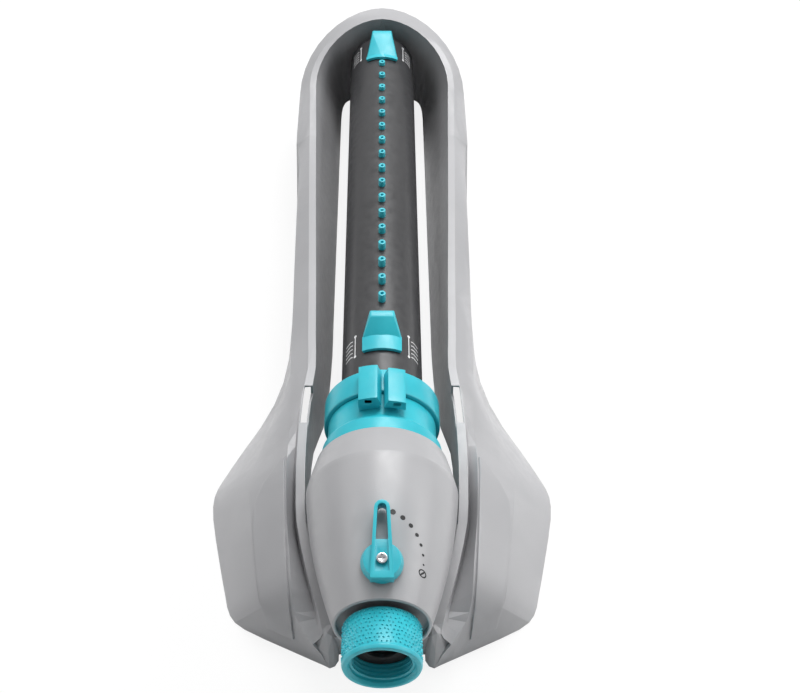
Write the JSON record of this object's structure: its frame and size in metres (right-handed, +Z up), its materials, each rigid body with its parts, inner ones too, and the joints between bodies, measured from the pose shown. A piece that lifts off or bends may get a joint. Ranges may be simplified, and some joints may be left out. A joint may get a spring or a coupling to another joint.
{
  "type": "lawn sprinkler",
  "caption": "Oscillating lawn sprinkler with a flared base, an egg-shaped motor cover, a threaded hose inlet, a flow lever, range collars and a nozzle tube with width sliders.",
  "frame": {"origin": "centre of the footprint, on the ground", "axes": "+Z up, -Y towards the hose inlet, +Y along the spray tube"},
  "size_m": [0.1838, 0.508, 0.0883],
  "materials": {
    "grey_plastic": "satin, fine moulded grain",
    "teal_plastic": "satin",
    "charcoal_plastic": "satin",
    "white_plastic": "natural acetal",
    "black_rubber": "matt",
    "steel": "bright"
  },
  "bodies": {
    "base": {"base_frame": "grey_plastic", "motor_cover": "grey_plastic", "inlet_body": "charcoal_plastic", "hose_washer": "black_rubber", "inlet_filter": "steel", "spindle_seal": "black_rubber", "gearbox_front_plate": "charcoal_plastic", "gearbox_rear_plate": "charcoal_plastic", "near_bearing": "white_plastic", "far_bearing": "white_plastic", "idler_pin": "steel", "cover_screw_1": "steel", "cover_screw_2": "steel", "cover_screw_3": "steel", "cover_screw_4": "steel"},
    "hose_nut": {"hose_nut": "teal_plastic"},
    "flow_lever": {"flow_lever": "teal_plastic", "lever_screw": "steel", "flow_valve": "white_plastic"},
    "turbine": {"turbine_wheel": "white_plastic", "turbine_shaft": "steel", "turbine_pinion": "white_plastic"},
    "idler": {"idler_wheel": "white_plastic", "idler_pinion": "white_plastic"},
    "trip_lever": {"trip_lever": "charcoal_plastic"},
    "spray_tube": {"spray_tube": "charcoal_plastic", "nozzle_strip": "teal_plastic", "tube_end_cap": "charcoal_plastic", "tube_drive_hub": "charcoal_plastic", "output_gear": "white_plastic"},
    "front_collar": {"front_limit_collar": "teal_plastic"},
    "rear_collar": {"rear_limit_collar": "teal_plastic"},
    "near_slider": {"near_width_slider": "teal_plastic", "near_slider_clip": "white_plastic"},
    "far_slider": {"far_width_slider": "teal_plastic", "far_slider_clip": "white_plastic"}
  },
  "joints": [
    {"name": "hose_nut_spin", "type": "hinge", "parent": "base", "child": "hose_nut", "pos_m": [0, -0.243, 0.045], "axis": [0, 1, 0], "continuous": true},
    {"name": "flow_lever_turn", "type": "hinge", "parent": "base", "child": "flow_lever", "pos_m": [0, -0.216, 0.07306], "axis": [0, -0.2751, 0.9614], "range_deg": [-90, 0]},
    {"name": "tube_oscillation", "type": "hinge", "parent": "base", "child": "spray_tube", "pos_m": [0, 0.046, 0.045], "axis": [0, 1, 0], "range_deg": [-45, 45]},
    {"name": "idler_spin", "type": "hinge", "parent": "base", "child": "idler", "pos_m": [-0.01685, -0.166, 0.045], "axis": [0, 1, 0], "range_deg": [-135, 135]},
    {"name": "turbine_spin", "type": "hinge", "parent": "base", "child": "turbine", "pos_m": [0, -0.179, 0.045], "axis": [0, 1, 0], "range_deg": [-360, 360]},
    {"name": "trip_lever_swing", "type": "hinge", "parent": "base", "child": "trip_lever", "pos_m": [0, -0.1545, 0.045], "axis": [0, 1, 0], "range_deg": [-12, 12]},
    {"name": "front_collar_turn", "type": "hinge", "parent": "spray_tube", "child": "front_collar", "pos_m": [0, -0.126, 0.045], "axis": [0, 1, 0], "range_deg": [-40, 0]},
    {"name": "rear_collar_turn", "type": "hinge", "parent": "spray_tube", "child": "rear_collar", "pos_m": [0, -0.102, 0.045], "axis": [0, 1, 0], "range_deg": [0, 40]},
    {"name": "near_slider_slide", "type": "slide", "parent": "spray_tube", "child": "near_slider", "axis": [0, 1, 0], "range_m": [-0.008, 0.008]},
    {"name": "far_slider_slide", "type": "slide", "parent": "spray_tube", "child": "far_slider", "axis": [0, 1, 0], "range_m": [-0.003, 0.002]}
  ],
  "couplings": [
    {"joint": "idler_spin", "follows": "tube_oscillation", "ratio": -3},
    {"joint": "turbine_spin", "follows": "tube_oscillation", "ratio": 8}
  ]
}
